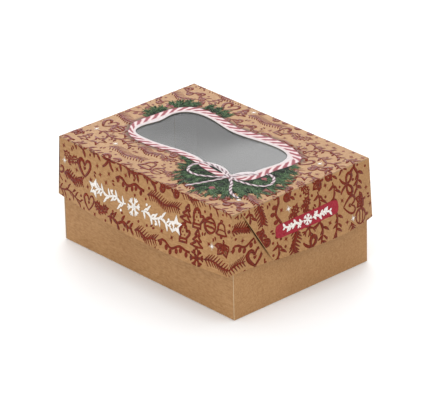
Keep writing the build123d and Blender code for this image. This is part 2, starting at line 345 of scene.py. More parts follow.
red_ink = make_ink("red_offset_ink", "#561500", "#6B1D02", "#842F13", 0.9)
white_ink = make_ink("white_offset_ink", "#D9D1C8", "#E6E0D9", "#F0ECE7", 0.7)
margin_ink = make_ink("white_margin_ink", "#BEB5B6", "#C6BDBE", "#CEC7C8", 0.9)
label_ink = make_ink("crimson_label_ink", "#851624", "#931D2C", "#9F2A38", 1.6)
fir_shade_ink = make_ink("fir_shade_green_ink", "#151715", "#1B1E1A", "#232722", 2.4, DARK_GLOSS)
fir_dark_ink = make_ink("dark_fir_green_ink", "#1D271D", "#262F25", "#313E2F", 1.2, DARK_GLOSS)
fir_mid_ink = make_ink("fir_green_ink", "#2D432A", "#3A5136", "#496342", 1.2, DARK_GLOSS)
fir_light_ink = make_ink("light_fir_green_ink", "#496140", "#597250", "#6D8761", 1.2, DARK_GLOSS)
berry_ink = make_ink("berry_red_ink", "#64171E", "#7A2128", "#8E3239", 1.4)
knot_shade_ink = make_ink("dark_green_shade_ink", "#151A18", "#1B211E", "#242B27", 1.2, DARK_GLOSS)
cord_print = make_cord_print(
    "printed_twisted_cord", CORD_PITCH, 0.47,
    [(0.00, "#9C3345"), (0.06, "#7E1728"), (0.38, "#82182B"), (0.47, "#B57C86"), (0.55, "#C9B7B6"),
     (0.68, "#D3C3C1"), (0.86, "#CCBAB9"), (0.94, "#B27781"), (1.00, "#9C3345")],
    "#C79AA2", 0.42, 0.74)
twine_print = make_cord_print(
    "printed_thin_twine", TWINE_PITCH, 0.30,
    [(0.00, "#5A3841"), (0.20, "#64434D"), (0.30, "#AD9BA0"), (0.42, "#C2B7B9"), (0.66, "#CABFC1"),
     (0.80, "#A8959A"), (0.90, "#6B4B54"), (1.00, "#5A3841")],
    "#B89DA4", 0.30)


# Drawing by hand

def take_up(*pieces):
    """Select pieces for the operators to work on, the first one active."""
    bpy.ops.object.select_all(action="DESELECT")
    for piece in pieces:
        piece.select_set(True)
    bpy.context.view_layer.objects.active = pieces[0]


def edited(piece, *steps):
    """Run mesh operators one after another on the whole of a piece."""
    take_up(piece)
    bpy.ops.object.mode_set(mode="EDIT")
    for step in steps:
        bpy.ops.mesh.select_all(action="SELECT")
        step()
    bpy.ops.object.mode_set(mode="OBJECT")


def ring(x, y, radius, points=8):
    """Return points round a circle."""
    turns = [math.tau * i / points for i in range(points)]
    return [(x + radius * math.cos(t), y + radius * math.sin(t)) for t in turns]


def placed(points, x, y, turn, size=1.0):
    """Return points scaled, turned by degrees and moved; what follows x and y in a point is kept."""
    c, s = math.cos(math.radians(turn)) * size, math.sin(math.radians(turn)) * size
    return [(x + p[0] * c - p[1] * s, y + p[0] * s + p[1] * c, *p[2:]) for p in points]


def swelling(points, start, middle, end):
    """Give each point a pen pressure, from those at the start, the middle and the end of the stroke."""
    made = []
    for i, (x, y) in enumerate(points):
        share = i / (len(points) - 1)
        side = start if share < 0.5 else end
        made.append((x, y, side + (middle - side) * math.sin(math.pi * share)))
    return made


class Drawing:
    """Strokes, bent, straight or closed, and filled shapes on the flat sheet, in millimetres.

    One that is kept whole is never printed across a crease or a rim, as a part of it would read as a sign.
    """

    def __init__(self, bent=(), straight=(), closed=(), filled=(), whole=False):
        self.bent, self.straight = list(bent), list(straight)
        self.closed, self.filled = list(closed), list(filled)
        self.whole = whole

    def add(self, other, x, y, turn, size=1.0, pressure=1.0):
        """Copy another drawing into this one at a place, with the pen pressed harder or more lightly."""
        for kind in ("bent", "straight", "closed"):
            for points in getattr(other, kind):
                pressed = [(p[0], p[1], pressure * (p[2] if len(p) > 2 else 1.0)) for p in points]
                getattr(self, kind).append(placed(pressed, x, y, turn, size))
        self.filled.extend(placed(points, x, y, turn, size) for points in other.filled)

    def lines(self):
        """Return all the strokes and outlines."""
        return self.bent + self.straight + self.closed + self.filled

    def extent(self):
        """Return the drawing's lowest and highest x."""
        xs = [p[0] for line in self.lines() for p in line]
        return min(xs), max(xs)


def flat_curve(name, steps, splines, fill=False):
    """Return a new flat curve object, with a spline for each line of each (lines, kind, closed, order)."""
    curve = bpy.data.curves.new(name, "CURVE")
    curve.dimensions = "2D"
    curve.fill_mode = "BOTH" if fill else "NONE"
    curve.resolution_u = steps
    for lines, kind, closed, order in splines:
        for points in lines:
            spline = curve.splines.new(kind)
            spline.points.add(len(points) - 1)
            for target, point in zip(spline.points, points):
                target.co = (point[0] * MM, point[1] * MM, 0, 1)
                target.radius = point[2] if len(point) > 2 else 1.0
            spline.use_cyclic_u = closed
            if kind == "NURBS":
                spline.order_u = min(order, len(points))
                spline.use_endpoint_u = not closed
    made = bpy.data.objects.new(name, curve)
    bpy.context.collection.objects.link(made)
    return made


def inked(name, drawing, nib_width=1.0, steps=3):
    """Draw a drawing on the flat sheet, its strokes with a flat nib, and return it as one flat mesh."""
    nib = flat_curve("pen_nib", 1, [([[(-nib_width / 2, 0), (nib_width / 2, 0)]], "POLY", False, 2)])
    parts = []
    if drawing.bent or drawing.straight or drawing.closed:
        strokes = [(drawing.bent, "NURBS", False, 4), (drawing.straight, "POLY", False, 2),
                   (drawing.closed, "POLY", True, 2)]
        parts.append(flat_curve(name, steps, strokes))
        parts[0].data.bevel_mode = "OBJECT"
        parts[0].data.bevel_object = nib
    if drawing.filled:
        parts.append(flat_curve(name + "_filled", steps, [(drawing.filled, "NURBS", True, 3)], True))
    take_up(*parts)
    bpy.ops.object.convert(target="MESH")
    if len(parts) > 1:
        bpy.ops.object.join()
    made = bpy.context.view_layer.objects.active
    made.name = made.data.name = name
    bpy.data.objects.remove(nib)
    lift_apart(made)
    return made


def lift_apart(piece):
    """Raise every stroke of a flat drawing by its own few microns: crossing strokes share no plane."""
    mesh = bmesh.new()
    mesh.from_mesh(piece.data)
    mesh.verts.index_update()
    waiting = set(mesh.verts)
    count = 0
    for first in mesh.verts:
        if first not in waiting:
            continue
        waiting.remove(first)
        found = [first]
        while found:
            vertex = found.pop()
            climb = (vertex.index - first.index) % STROKE_CLIMBS * STROKE_CLIMB
            vertex.co.z = (count % STROKE_LIFTS * STROKE_LIFT + climb) * MM
            for edge in vertex.link_edges:
                other = edge.other_vert(vertex)
                if other in waiting:
                    waiting.remove(other)
                    found.append(other)
        count += 1
    mesh.to_mesh(piece.data)
    mesh.free()


def thickened(piece, thickness=INK_THICKNESS):
    """Give a printed layer its thickness, outwards from the board."""
    edited(piece, bpy.ops.mesh.delete_loose)
    solid = piece.modifiers.new("ink", "SOLIDIFY")
    solid.thickness = thickness * MM
    solid.offset = 1.0
    bpy.ops.object.modifier_apply(modifier=solid.name)
    return piece


def dressed(piece, material, body="lid"):
    """Give a piece its material and the body that it rides on."""
    piece.data.materials.clear()
    piece.data.materials.append(material)
    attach(piece, body)


def print_on_top(piece, height, ink, thickness=INK_THICKNESS):
    """Print a flat drawing on the lid's top panel, its faces upwards."""
    for vertex in piece.data.vertices:
        vertex.co.z += (lid_top + height) * MM
    edited(piece, bpy.ops.mesh.normals_make_consistent)
    for polygon in piece.data.polygons:
        if polygon.normal.z < 0:
            polygon.flip()
    piece.data.update()
    dressed(thickened(piece, thickness), ink)


def pressed_on(piece, start_of, side, direction, carriers, height):
    """Press a flat print onto folded panels: each point goes the given way until it meets the board."""
    mesh = bmesh.new()
    mesh.from_mesh(piece.data)
    lost = []
    for vertex in mesh.verts:
        start = Vector(start_of(vertex.co.x / MM, vertex.co.y / MM, side)) * MM
        hits = []
        for carrier in carriers:
            met, place, normal, _ = nodes[carrier].ray_cast(start, direction)
            if met:
                hits.append(((place - start).length, place + normal * (height * MM + vertex.co.z)))
        if hits:
            vertex.co = min(hits, key=lambda hit: hit[0])[1]
        else:
            lost.append(vertex)
    bmesh.ops.delete(mesh, geom=lost, context="VERTS")
    for face in mesh.faces:
        face.normal_update()
        if face.normal.dot(direction) > 0:
            face.normal_flip()
    mesh.to_mesh(piece.data)
    mesh.free()


# Motifs of the print

def dab(x, y, turn, reach, weight):
    """A brush dab, thin at both ends, as leaves and needles are painted."""
    bow = reach * 0.12
    points = [(0, 0, 0.3), (reach * 0.3, bow, weight), (reach * 0.7, bow, weight * 0.8), (reach, 0, 0.15)]
    return placed(points, x, y, turn)


def waving_stem(reach, height, rate, bends=8):
    """Return points along a stem that waves from -reach to reach."""
    return [(-reach + 2 * reach * i / bends, height * math.sin(i * rate)) for i in range(bends + 1)]


def mirrored(points):
    """Return points mirrored left to right."""
    return [(-x, y, *rest) for x, y, *rest in points]


def snowflake(arm=5.4):
    made = Drawing()
    line = [(0, 0, 1.1), (arm, 0, 0.75)]
    tick = [(arm * 0.92, arm * 0.32, 0.6), (arm * 0.56, 0, 1.0), (arm * 0.92, -arm * 0.32, 0.6)]
    for i in range(6):
        made.straight += [placed(line, 0, 0, 60 * i + 12), placed(tick, 0, 0, 60 * i + 12)]
    return made


def star_outline(reach=5.6, waist=2.5):
    points = []
    for i in range(10):
        radius, turn = waist if i % 2 else reach, math.tau * i / 10
        points.append((radius * math.sin(turn), radius * math.cos(turn), 1.25 if i % 4 < 2 else 0.7))
    return Drawing(closed=[points], whole=True)


def heart():
    half = [(0, -5.2), (-2.8, -2.8), (-6.2, 1.4), (-4.8, 5.4), (-1.1, 5.2), (0, 1.4)]
    middle = [(0, -1.6), (-1.5, 0.3), (-0.9, 1.4), (0, 0.6), (0.9, 1.4), (1.5, 0.3)]
    return Drawing([swelling(half, 0.7, 1.5, 0.7), swelling(mirrored(half)[::-1], 0.6, 1.1, 0.7)],
                   filled=[middle], whole=True)


def leaves(leaf, vein, height, turns, pressures):
    """Outlined leaves with a vein, each at a turn and a size, round a place at a height."""
    made = Drawing()
    for turn, size in turns:
        made.closed.append([(x, y, 0.75) for x, y in placed(leaf, 0, height, turn, size)])
        made.bent.append(swelling(placed(vein, 0, height, turn, size), *pressures))
    return made


def holly():
    edge = [(0.6, 0.0), (1.5, 1.8), (2.2, 1.0), (3.6, 2.5), (4.1, 1.2), (5.5, 1.9), (5.7, 0.8), (7.2, 0.0)]
    leaf = edge + [(x, -y) for x, y in reversed(edge[1:-1])]
    vein = [(1.2, 0), (3.4, 0.2), (5.6, 0)]
    made = leaves(leaf, vein, 0.4, ((24, 1.0), (156, 1.0)), (0.6, 1.0, 0.3))
    made.filled = [ring(x, y, 1.5) for x, y in ((-1.3, -1.3), (1.3, -1.4), (0.0, -3.4))]
    return made


def mistletoe():
    leaf = [(0, 0), (1.4, 1.7), (4.1, 2.2), (6.4, 0.6), (4.8, -0.8), (1.8, -0.9)]
    vein = [(1.0, 0.2), (3.0, 0.7), (5.0, 0.5)]
    turns = ((-62, 0.95), (-118, 0.95), (-16, 0.82), (-164, 0.82))
    made = leaves(leaf, vein, 2.6, turns, (0.5, 0.8, 0.3))
    made.bent.append(swelling([(0, 2.6), (0.4, 4.4), (-0.5, 5.8)], 0.8, 1.1, 0.7))
    made.filled = [ring(x, y, 1.15) for x, y in ((-1.2, 2.4), (1.1, 2.2), (0, 0.4))]
    return made


def bell():
    side = [(0, 4.2), (-1.8, 4.1), (-3.2, 2.3), (-2.9, -1.0), (-4.0, -2.4), (-5.1, -3.2)]
    rim = [(-5.1, -3.2), (-2.2, -4.1), (2.2, -4.1), (5.1, -3.2)]
    loop = [(0, 4.2), (-1.6, 5.4), (-0.2, 6.6), (1.5, 5.6), (0, 4.2)]
    shine = [(-2.7, -0.6), (0, 0.2), (2.7, -0.6)]
    return Drawing([swelling(side, 0.8, 1.4, 0.8), swelling(mirrored(side), 0.7, 1.0, 0.7),
                    swelling(rim, 0.8, 1.2, 0.8), swelling(loop, 0.6, 0.8, 0.6),
                    swelling(shine, 0.5, 0.9, 0.5)], filled=[ring(0, -5.0, 1.3)], whole=True)


def bauble():
    loop = [(0, 4.4), (-1.0, 5.2), (0, 6.2), (1.0, 5.2), (0, 4.4)]
    wave = [(-3.8, -0.4), (-1.9, 1.0), (0, -0.4), (1.9, 1.0), (3.8, -0.4)]
    bands = [[(x, y + lift, 0.8) for x, y in wave] for lift in (0.4, -2.2)]
    cap = [(-1.0, 3.9, 1.4), (1.0, 3.9, 1.4)]
    ball = [(x, y, 0.75 + 0.45 * (x < 0)) for x, y in ring(0, -1.0, 4.2, 20)]
    return Drawing([swelling(loop, 0.5, 0.6, 0.5)] + bands, [cap], [ball], whole=True)


def fir_garland(reach=15.0):
    """A drooping fir garland, painted needle by needle."""
    step, height = 1.9, 1.2
    made = Drawing([swelling(waving_stem(reach, height, 1.1), 0.7, 1.0, 0.5)])
    for i in range(int(reach * 2 / step)):
        x = -reach + 1.0 + step * i
        y = height * math.sin((x / reach + 1) * 4.4)
        for needle, turn in ((4.6, 52), (4.4, -50)):
            made.straight.append(placed([(0, 0, 0.95), (needle, 0, 0.35)], x, y, turn))
    return made


def leafy_vine(reach=17.0, steps=9):
    """A waving stem with painted leaves on both sides and a few berries."""
    height = 1.5
    made = Drawing([swelling(waving_stem(reach, height, 1.5), 0.5, 0.9, 0.5)])
    for i in range(steps):
        x = -reach + 2 * reach * (i + 0.4) / steps
        y = height * math.sin((x / reach + 1) * 6.0)
        side = 1 if i % 2 else -1
        made.bent += [dab(x, y, side * 58, 5.2, 1.5), dab(x + 0.9, y, -side * 38, 4.0, 1.2)]
        if i % 3 == 1:
            made.filled.append(ring(x - 0.9, y + side * 3.9, 0.9))
    return made


def scrolling_vine(reach=15.0, scrolls=5):
    """A waving stem that curls into scrolls above and below."""
    made = Drawing([swelling(waving_stem(reach, 1.3, 1.2, 10), 0.5, 1.1, 0.5)])
    for i in range(scrolls):
        x, side = -reach + 2 * reach * (i + 0.5) / scrolls, (1 if i % 2 else -1)
        curl = []
        for k in range(9):
            radius, turn = 3.0 - 0.27 * k, side * (0.85 * k - 1.9)
            curl.append((x + radius * math.cos(turn), side * 2.6 + radius * math.sin(turn)))
        made.bent.append(swelling(curl, 0.7, 1.4, 0.9))
        made.filled.append(ring(*curl[-1], 1.0))
        made.bent += [dab(x - 2.2, 0.0, side * 64, 4.4, 1.5), dab(x + 1.0, 0.0, -side * 48, 4.2, 1.4)]
    return made


def tied_bow():
    loop = [(0, 0.6, 0.8), (2.0, 4.6, 1.1), (6.4, 5.2, 1.5), (6.6, 0.4, 1.2), (2.4, -0.4, 0.9), (0, 0.4, 0.8)]
    tail = [(0, 0.2, 0.8), (1.4, -2.4, 1.2), (2.4, -4.0, 1.0), (4.8, -5.2, 0.5)]
    return Drawing([mirrored(loop), mirrored(tail), loop, tail], filled=[ring(0, 0.6, 1.3)])


def little_tree():
    made = Drawing(straight=[[(0, -4.4, 1.3), (0, -5.9, 1.3)]], whole=True)
    for width, low in ((2.3, 2.2), (3.6, -0.8), (5.0, -3.9)):
        left, right, tip = (-width, low, 0.5), (width, low, 0.5), (0, low + 3.4, 0.9)
        made.bent += [[left, (-width * 0.35, low + 1.0, 1.3), tip],
                      [tip, (width * 0.35, low + 1.0, 1.0), right],
                      [left, (0, low - 0.9, 1.0), right]]
    return made


def mitten():
    hand = [(-2.9, -2.8), (-3.8, 1.1), (-3.2, 5.6), (0.7, 6.1), (2.5, 2.9), (2.0, 0.9)]
    thumb = [(2.1, 1.2), (3.6, 2.7), (5.7, 1.8), (4.4, -0.7), (2.0, -2.8)]
    cuff = [(-3.6, -3.2, 0.8), (2.6, -3.2, 0.8), (2.6, -5.3, 0.8), (-3.6, -5.3, 0.8)]
    spots = [(-1.9, 3.4, 0.7), (0.2, 3.6, 0.7), (-1.0, 1.0, 0.7), (-2.2, -1.0, 0.6), (0.6, -0.9, 0.6)]
    return Drawing([swelling(hand, 0.8, 1.3, 0.7), swelling(thumb, 0.7, 1.2, 0.8)], closed=[cuff],
                   filled=[ring(*spot) for spot in spots], whole=True)


def string_of_lights():
    """A looping cable with little bulbs."""
    cable = [(-13.8, 1.0), (-10.0, 4.4), (-6.0, 1.8), (-2.2, -0.8), (1.6, 1.8), (5.6, 4.4), (9.6, 1.6),
             (13.6, 2.0)]
    bulb = [(0, 0), (1.4, -0.9), (1.5, -3.0), (0, -4.2), (-1.5, -3.0), (-1.4, -0.9)]
    hung = [(-10.8, 2.6, -14), (-6.5, 1.4, 12), (-2.2, -0.2, -6), (2.2, 1.6, 10), (6.2, 3.0, -10),
            (10.5, 1.8, 8)]
    return Drawing([[(x, y, 0.9) for x, y in cable]], filled=[placed(bulb, *place, 0.95) for place in hung])


def sparkle(reach, waist):
    """A little filled star with eight long thin rays."""
    points = []
    for i in range(16):
        radius, turn = waist if i % 2 else (reach if i % 4 == 0 else reach * 0.62), math.pi * i / 8
        points += [(radius * math.sin(turn), radius * math.cos(turn))] * 2
    return Drawing(filled=[points])


MOTIFS = [snowflake(), scrolling_vine(), holly(), leafy_vine(), star_outline(), bell(), fir_garland(),
          heart(), scrolling_vine(9.5, 3), bauble(), leafy_vine(11.5, 6), little_tree(), mistletoe(),
          tied_bow(), string_of_lights(), mitten(), fir_garland(10.0)]
# What the gaps between the motifs are filled with, and the room that each needs
FILLERS = [(sparkle(2.6, 0.8), 2.6),
           (Drawing([dab(-1.6, -0.8, 62, 2.8, 1.1), dab(0.2, -1.0, 40, 2.8, 1.1)]), 2.4),
           (Drawing(filled=[ring(0, 0, 1.1)]), 1.5)]

ROW_PITCH = 12.8         # millimetres from one row of motifs to the next
ROW_START = 14           # a row starts up to this far outside the sheet
ROW_WAVE, ROW_WAVE_LENGTH, ROW_WAVE_SHIFT = 1.3, 31, 1.7
ROW_LIFT = 0.7           # most that a motif stands above or below its row
MOTIF_SIZES = (1.04, 1.28)
MOTIF_GAP = 0.3          # between two motifs in a row
MOTIF_TILT = 9.0         # most that a motif is turned, in degrees
LONG_MOTIF, LONG_TILT = 16, 0.3          # a motif longer than this is turned by less
CHOICE = 6               # motifs that are tried for a place before this much of the row is skipped
SKIP = 1.5
PEN_PRESSURES = (0.74, 1.0, 1.16)        # some motifs are written finely and some with a full brush
RED_NIB = 1.95
STROKE_STEP = 0.9        # how densely strokes are followed when looking for room
FILLER_ROOM = 1.1        # left round a filler
FILLER_TRIES = 5200
SHEET_EDGE = 8.0         # the printed sheet runs on this far past the rims
sheet_reach = lid_half_length + skirt + SHEET_EDGE
sheet_depth = lid_half_width + skirt + SHEET_EDGE

# Places on the flat sheet. The red print keeps clear of the garland and the stars.
GARLAND_X, GARLAND_Y = -5.0, -lid_half_width - 24.2
GARLAND_HALF_LENGTH, GARLAND_HALF_WIDTH = 47.0, 6.8
LABEL_X, LABEL_Y = lid_half_length + 23.8, 1.2
WHITE_STARS = [(-21.0, 58.5), (-79.0, -37.3), (-51.0, -44.2), (72.3, 32.7), (74.8, -44.7),
               (-82.7, -79.6), (72.9, -90.2), (100.5, -14.2), (125.8, 42.2)]
STAR_ROOM = 2.8


def kept_clear(x, y):
    """Say whether a stroke here would run into the garland or a white star."""
    if abs(x - GARLAND_X) < GARLAND_HALF_LENGTH and abs(y - GARLAND_Y) < GARLAND_HALF_WIDTH:
        return True
    return any(math.hypot(x - sx, y - sy) < STAR_ROOM for sx, sy in WHITE_STARS)


def cut_apart(trace):
    """Say whether a crease or a rim would cut through a motif here."""
    for values, crease in zip(zip(*trace), (lid_half_length, lid_half_width)):
        for line in (crease, crease + skirt):
            if any(min(values) < side * line < max(values) for side in (-1, 1)):
                return True
    return False


def followed(drawing):
    """Return points close together along all the lines of a drawing."""
    made = []
    for line in drawing.lines():
        for (ax, ay, *_), (bx, by, *_) in zip(line, line[1:]):
            steps = max(1, int(math.hypot(bx - ax, by - ay) / STROKE_STEP))
            made += [(ax + (bx - ax) * i / steps, ay + (by - ay) * i / steps) for i in range(steps)]
        made.append(line[-1][:2])
    return made


def red_print():
    """Fill the whole flat sheet with waving rows of hand-drawn motifs, then fill the gaps."""
    chance = random.Random(7)
    made = Drawing()
    traces = [followed(motif) for motif in MOTIFS]
    taken = []
    deck = []
    for row in range(int(2 * sheet_depth / ROW_PITCH) + 1):
        x = -sheet_reach - chance.uniform(0, ROW_START)
        while x < sheet_reach:
            if len(deck) < CHOICE:
                deck += chance.sample(range(len(MOTIFS)), len(MOTIFS))
            size = chance.uniform(*MOTIF_SIZES)
            lift, turn = chance.uniform(-ROW_LIFT, ROW_LIFT), chance.uniform(-MOTIF_TILT, MOTIF_TILT)
            for pick in deck[:CHOICE]:
                motif = MOTIFS[pick]
                low, high = motif.extent()
                middle = x - low * size
                wave = ROW_WAVE * math.sin(middle / ROW_WAVE_LENGTH + row * ROW_WAVE_SHIFT)
                y = sheet_depth - ROW_PITCH * row + wave + lift
                lean = turn if high - low < LONG_MOTIF else turn * LONG_TILT
                trace = placed(traces[pick], middle, y, lean, size)
                if motif.whole and cut_apart(trace) or any(kept_clear(*point) for point in trace):
                    continue
                made.add(motif, middle, y, lean, size, chance.choice(PEN_PRESSURES))
                taken += trace
                deck.remove(pick)
                x += (high - low) * size + MOTIF_GAP
                break
            else:
                x += SKIP
    room = KDTree(len(taken))
    for i, (x, y) in enumerate(taken):
        room.insert((x, y, 0), i)
    room.balance()
    added = []
    for filler, reach in FILLERS:
        need = reach + FILLER_ROOM
        for _ in range(FILLER_TRIES):
            x, y = chance.uniform(-sheet_reach, sheet_reach), chance.uniform(-sheet_depth, sheet_depth)
            if kept_clear(x, y) or room.find((x, y, 0))[2] < need:
                continue
            if any(math.hypot(x - ax, y - ay) < need + ar for ax, ay, ar in added):
                continue
            made.add(filler, x, y, chance.uniform(0, 360))
            added.append((x, y, reach))
    return made


START_OFF = 30.0         # a point of the sheet starts this far off the lid
FLAP_SHOWS = 0.6         # a flap's print starts this far below the crease
FLAP_HIDDEN = 1.0        # and runs on this far under the end panel
END_MARGIN = 0.4         # an end panel's print stops this far from its slanted edge


def top_start(x, y, side):
    """Return where a point of the sheet starts towards the lid's top."""
    return x, y, lid_top + START_OFF


def wall_start(x, y, side):
    """Return where a point of the sheet starts towards a long wall."""
    return x, -side * (lid_half_width + START_OFF), lid_top + lid_half_width + side * y


def flap_start(x, y, side):
    """Return where a point of the sheet starts towards a flap, past the wall's folded corner."""
    below = -lid_half_width - side * y
    along = side * x - (lid_half_length - FLAP_INSET) - loose_slope * below
    corner = -lid_half_width - LONG_LOOSE_FLARE * spread * below
    return side * (lid_half_length + START_OFF), side * (corner + along), lid_top - below


def end_start(x, y, side):
    """Return where a point of the sheet starts towards an end panel."""
    return side * (lid_half_length + START_OFF), y, lid_top + lid_half_length - side * x


def printed_panels():
    """List the printed panels: name, side, cuts through the sheet, points' start and way, boards they meet.

    A cut is a place and the direction outwards. The lid's other side is the same, turned half round.
    """
    length, width = lid_half_length, lid_half_width
    wall_end = length - FLAP_INSET
    top_cuts = [((length - CUT_MARGIN, 0), (1, 0)), ((-length + CUT_MARGIN, 0), (-1, 0)),
                ((0, width - CUT_MARGIN), (0, 1)), ((0, -width + CUT_MARGIN), (0, -1))]
    rim_cut = ((0, -width - skirt + CUT_MARGIN), (0, -1))
    wall_cuts = [((0, -width - CUT_MARGIN), (0, 1)), rim_cut,
                 ((wall_end - CUT_MARGIN, -width), (1, loose_slope)),
                 ((-wall_end + CUT_MARGIN, -width), (-1, tight_slope))]
    flap_cuts = [((0, -width - FLAP_SHOWS), (0, 1)), rim_cut,
                 ((wall_end + CUT_MARGIN, -width), (-1, -loose_slope)),
                 ((wall_end + END_SETBACK + FLAP_HIDDEN, -width), (1, setback_slope))]
    end_cuts = [((length + CUT_MARGIN, 0), (-1, 0)), ((length + skirt - CUT_MARGIN, 0), (1, 0)),
                ((length, -width + END_SETBACK + END_MARGIN), (setback_slope, -1)),
                ((length, width - CUT_MARGIN), (-tight_slope, 1))]
    listed = [("top", 1, top_cuts, top_start, (0, 0, -1), ["lid_top_panel"])]
    for side, wall, end in ((1, "front", "right"), (-1, "back", "left")):
        board, flap, panel = f"lid_{wall}_wall", f"lid_{wall}_{end}_flap", f"lid_{end}_end_panel"
        listed += [(f"{wall}_wall", side, wall_cuts, wall_start, (0, side, 0), [board, "lid_top_panel"]),
                   (f"{wall}_{end}_flap", side, flap_cuts, flap_start, (-side, 0, 0), [flap, board]),
                   (f"{end}_end", side, end_cuts, end_start, (-side, 0, 0), [panel, "lid_top_panel"])]
    return listed


PANELS = printed_panels()


def lay_on_panels(stem, drawing, height, ink, nib_width=1.0, steps=3):
    """Ink a drawing on a flat sheet, cut it at the creases and press each part onto its panel."""
    sheet = inked("flat_sheet", drawing, nib_width, steps)
    for word, side, cuts, start_of, direction, carriers in PANELS:
        piece = sheet.copy()
        piece.data = sheet.data.copy()
        piece.name = piece.data.name = f"{stem}_on_{word}"
        bpy.context.collection.objects.link(piece)
        trims = []
        for (x, y), (across, down) in cuts:
            trims.append(partial(bpy.ops.mesh.bisect, plane_co=(side * x * MM, side * y * MM, 0),
                                 plane_no=(side * across, side * down, 0), clear_outer=True))
        edited(piece, *trims)
        if piece.data.polygons:
            pressed_on(piece, start_of, side, Vector(direction), carriers, height)
            dressed(thickened(piece), ink)
        else:
            bpy.data.objects.remove(piece)
    bpy.data.objects.remove(sheet)


lay_on_panels("red_print", red_print(), RED_INK_HEIGHT, red_ink, RED_NIB, 2)


# Label, garland and white stars

# The label is a brushed bar with uneven ends, here in shares of its half length and half width
LABEL_HALF_LENGTH, LABEL_HALF_WIDTH, LABEL_TURN = 28.6, 5.2, 91.5
LABEL_EDGE = [(-1.00, -0.15), (-0.985, 0.55), (-0.93, 0.96), (-0.70, 0.90), (-0.30, 1.00), (0.25, 0.93),
              (0.70, 1.02), (0.93, 0.90), (0.985, 0.60), (1.00, 0.05), (0.98, -0.50), (0.93, -0.96),
              (0.60, -0.92), (0.10, -1.00), (-0.40, -0.94), (-0.80, -1.02), (-0.95, -0.90), (-0.985, -0.55)]
bar = [(x * LABEL_HALF_LENGTH, y * LABEL_HALF_WIDTH) for x, y in LABEL_EDGE]
label = Drawing(filled=[placed(bar, LABEL_X, LABEL_Y, LABEL_TURN)])
lay_on_panels("end_label", label, LABEL_HEIGHT, label_ink)

GARLAND_VINE_X, GARLAND_STAR_X = 23.4, 43.0              # from the garland's middle
LABEL_VINE_Y = 12.6      # from the label's middle
WHITE_NIB, FINE_WHITE_NIB = 1.7, 1.2
white = Drawing()
for place in WHITE_STARS:
    white.add(sparkle(3.1, 0.62), *place, 8)
white.add(snowflake(6.4), GARLAND_X, GARLAND_Y, 4)
for side in (-1, 1):
    vine_x, star_x = GARLAND_X + side * GARLAND_VINE_X, GARLAND_X + side * GARLAND_STAR_X
    white.add(leafy_vine(13.4, 8), vine_x, GARLAND_Y - 0.3, 0 if side > 0 else 180, 1.14)
    white.add(star_outline(4.6, 2.1), star_x, GARLAND_Y + side * 0.8, side * 8)
for side in (-1, 1):
    white.add(leafy_vine(12.5, 7), LABEL_X, LABEL_Y + side * LABEL_VINE_Y, 90 * side + 1.5, 0.66)
lay_on_panels("white_print", white, WHITE_INK_HEIGHT, white_ink, WHITE_NIB)
small_white = Drawing()
small_white.add(snowflake(3.9), LABEL_X, LABEL_Y, 30)
lay_on_panels("label_snowflake", small_white, WHITE_INK_HEIGHT, white_ink, FINE_WHITE_NIB)


# Picture round the window

LINE_STEPS = 8           # runs of a smooth line from one given point to the next


def smooth_line(points, closed):
    """Return points along a smooth line laid through the given ones."""
    curve = bpy.data.curves.new("laid_line", "CURVE")
    curve.dimensions = "3D"
    curve.resolution_u = LINE_STEPS
    spline = curve.splines.new("BEZIER")
    spline.bezier_points.add(len(points) - 1)
    for target, (x, y) in zip(spline.bezier_points, points):
        target.co = (x, y, 0)
        target.handle_left_type = target.handle_right_type = "AUTO"
    spline.use_cyclic_u = closed
    holder = bpy.data.objects.new("laid_line", curve)
    mesh = bpy.data.meshes.new_from_object(holder)
    line = [Vector(vertex.co.xy) for vertex in mesh.vertices]
    bpy.data.objects.remove(holder)
    bpy.data.curves.remove(curve)
    bpy.data.meshes.remove(mesh)
    return line


def sideways(line, i, closed):
    """Return the direction to the left of a line at one of its points."""
    last = len(line) - 1
    before = line[i - 1] if i or closed else line[0]
    after = line[i + 1] if i < last else line[0 if closed else last]
    run = (after - before).normalized()
    return Vector((-run.y, run.x))


def sides_of(outline):
    """Return the sides of a closed outline as pairs of points."""
    return zip(outline, outline[1:] + outline[:1])


def reach_inwards(outline, point, towards, far=40):
    """Return how far it is from a point, in one direction, to a closed outline."""
    ahead = point + towards * far
    met = [intersect_line_line_2d(point, ahead, Vector(a), Vector(b)) for a, b in sides_of(outline)]
    return min([(m - point).length for m in met if m is not None], default=far)


